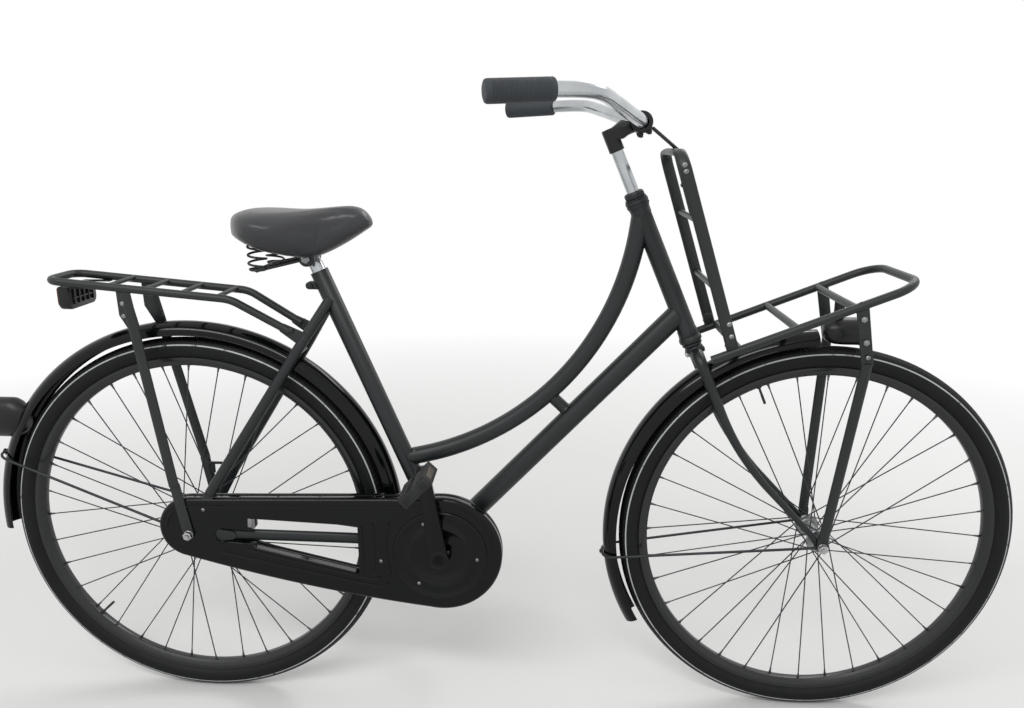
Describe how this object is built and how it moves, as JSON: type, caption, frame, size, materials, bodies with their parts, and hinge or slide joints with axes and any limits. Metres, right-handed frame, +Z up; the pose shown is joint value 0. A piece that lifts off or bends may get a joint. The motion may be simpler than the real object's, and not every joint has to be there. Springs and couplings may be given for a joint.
{
  "type": "city bicycle",
  "caption": "City bicycle with a loop frame, closed chain case, laced wheels, sprung saddle, and a carrier at the front and at the rear.",
  "frame": {"origin": "point where the rear tyre meets the ground", "axes": "+X forward, +Y to the rider's left, +Z up"},
  "size_m": [1.8861, 0.6264, 1.1358],
  "materials": {
    "frame_black": "satin black paint with a slight blue-green cast",
    "gloss_black": "gloss black paint",
    "carrier_black": "satin dark grey-black powder coat",
    "chrome": "polished chrome",
    "steel": "plain bright steel",
    "dark_steel": "dark oiled steel",
    "rubber": "matt dark grey rubber",
    "tyre": "black tyre rubber",
    "black_plastic": "satin black moulding",
    "vinyl": "satin black saddle cover with a bluish sheen",
    "red_lens": "red lens plastic",
    "clear_lens": "clear lens plastic"
  },
  "bodies": {
    "frame": {"head_tube": "frame_black", "loop_tube": "frame_black", "down_tube": "frame_black", "seat_tube": "frame_black", "bottom_bracket_shell": "frame_black", "right_chain_stay": "frame_black", "left_chain_stay": "frame_black", "right_seat_stay": "frame_black", "left_seat_stay": "frame_black", "upper_headset_cup": "steel", "lower_headset_cup": "frame_black", "rear_axle": "steel", "brake_arm": "frame_black", "chain": "dark_steel", "chaincase_outer": "gloss_black", "chaincase_inner": "gloss_black", "chaincase_cover": "gloss_black", "rear_mudguard": "gloss_black", "rear_mudguard_stay": "dark_steel", "rear_carrier": "carrier_black", "right_carrier_leg": "carrier_black", "left_carrier_leg": "carrier_black", "rear_reflector": "red_lens", "tail_light_housing": "black_plastic", "tail_light_lens": "red_lens"},
    "saddle": {"seat_post": "chrome", "saddle_frame": "dark_steel", "saddle_cushion": "vinyl", "right_saddle_spring": "dark_steel", "left_saddle_spring": "dark_steel"},
    "steering": {"fork": "frame_black", "headset_locknut": "chrome", "quill_stem": "chrome", "stem_clamp": "black_plastic", "handlebar": "chrome", "right_grip": "rubber", "left_grip": "rubber", "front_carrier_platform": "carrier_black", "front_carrier_rack": "carrier_black", "right_carrier_strut": "carrier_black", "left_carrier_strut": "carrier_black", "carrier_top_rod": "dark_steel", "headlamp": "black_plastic", "headlamp_lens": "clear_lens", "front_mudguard": "gloss_black", "front_mudguard_stay": "dark_steel", "front_axle": "steel"},
    "front_wheel": {"front_tyre": "tyre", "front_rim": "dark_steel", "front_hub_with_spokes": "dark_steel"},
    "rear_wheel": {"rear_tyre": "tyre", "rear_rim": "dark_steel", "rear_hub_with_spokes": "dark_steel"},
    "driver": {"rear_sprocket": "dark_steel"},
    "crank": {"crank_axle": "steel", "chainring": "dark_steel", "right_crank": "gloss_black", "left_crank": "gloss_black"},
    "right_pedal_body": {"right_pedal": "rubber"},
    "left_pedal_body": {"left_pedal": "rubber"}
  },
  "joints": [
    {"name": "steering_turn", "type": "hinge", "parent": "frame", "child": "steering", "pos_m": [0.85116, 0, 0.82828], "axis": [-0.3987, 0, 0.9171], "range_deg": [-60, 60]},
    {"name": "front_wheel_spin", "type": "hinge", "parent": "steering", "child": "front_wheel", "pos_m": [1.142, 0, 0.355], "axis": [0, 1, 0], "continuous": true},
    {"name": "rear_wheel_spin", "type": "hinge", "parent": "frame", "child": "rear_wheel", "pos_m": [0, 0, 0.355], "axis": [0, 1, 0], "continuous": true},
    {"name": "crank_spin", "type": "hinge", "parent": "frame", "child": "crank", "pos_m": [0.46, 0, 0.325], "axis": [0, 1, 0], "continuous": true},
    {"name": "sprocket_spin", "type": "hinge", "parent": "frame", "child": "driver", "pos_m": [0, 0, 0.355], "axis": [0, 1, 0], "continuous": true},
    {"name": "right_pedal_spin", "type": "hinge", "parent": "crank", "child": "right_pedal_body", "pos_m": [0.43388, -0.1315, 0.48994], "axis": [0, 1, 0], "continuous": true},
    {"name": "left_pedal_spin", "type": "hinge", "parent": "crank", "child": "left_pedal_body", "pos_m": [0.48612, 0.1315, 0.16006], "axis": [0, 1, 0], "continuous": true},
    {"name": "saddle_height", "type": "slide", "parent": "frame", "child": "saddle", "axis": [-0.3859, 0, 0.9225], "range_m": [0, 0.12]}
  ],
  "couplings": [
    {"joint": "sprocket_spin", "follows": "crank_spin", "ratio": 2.1111}
  ]
}
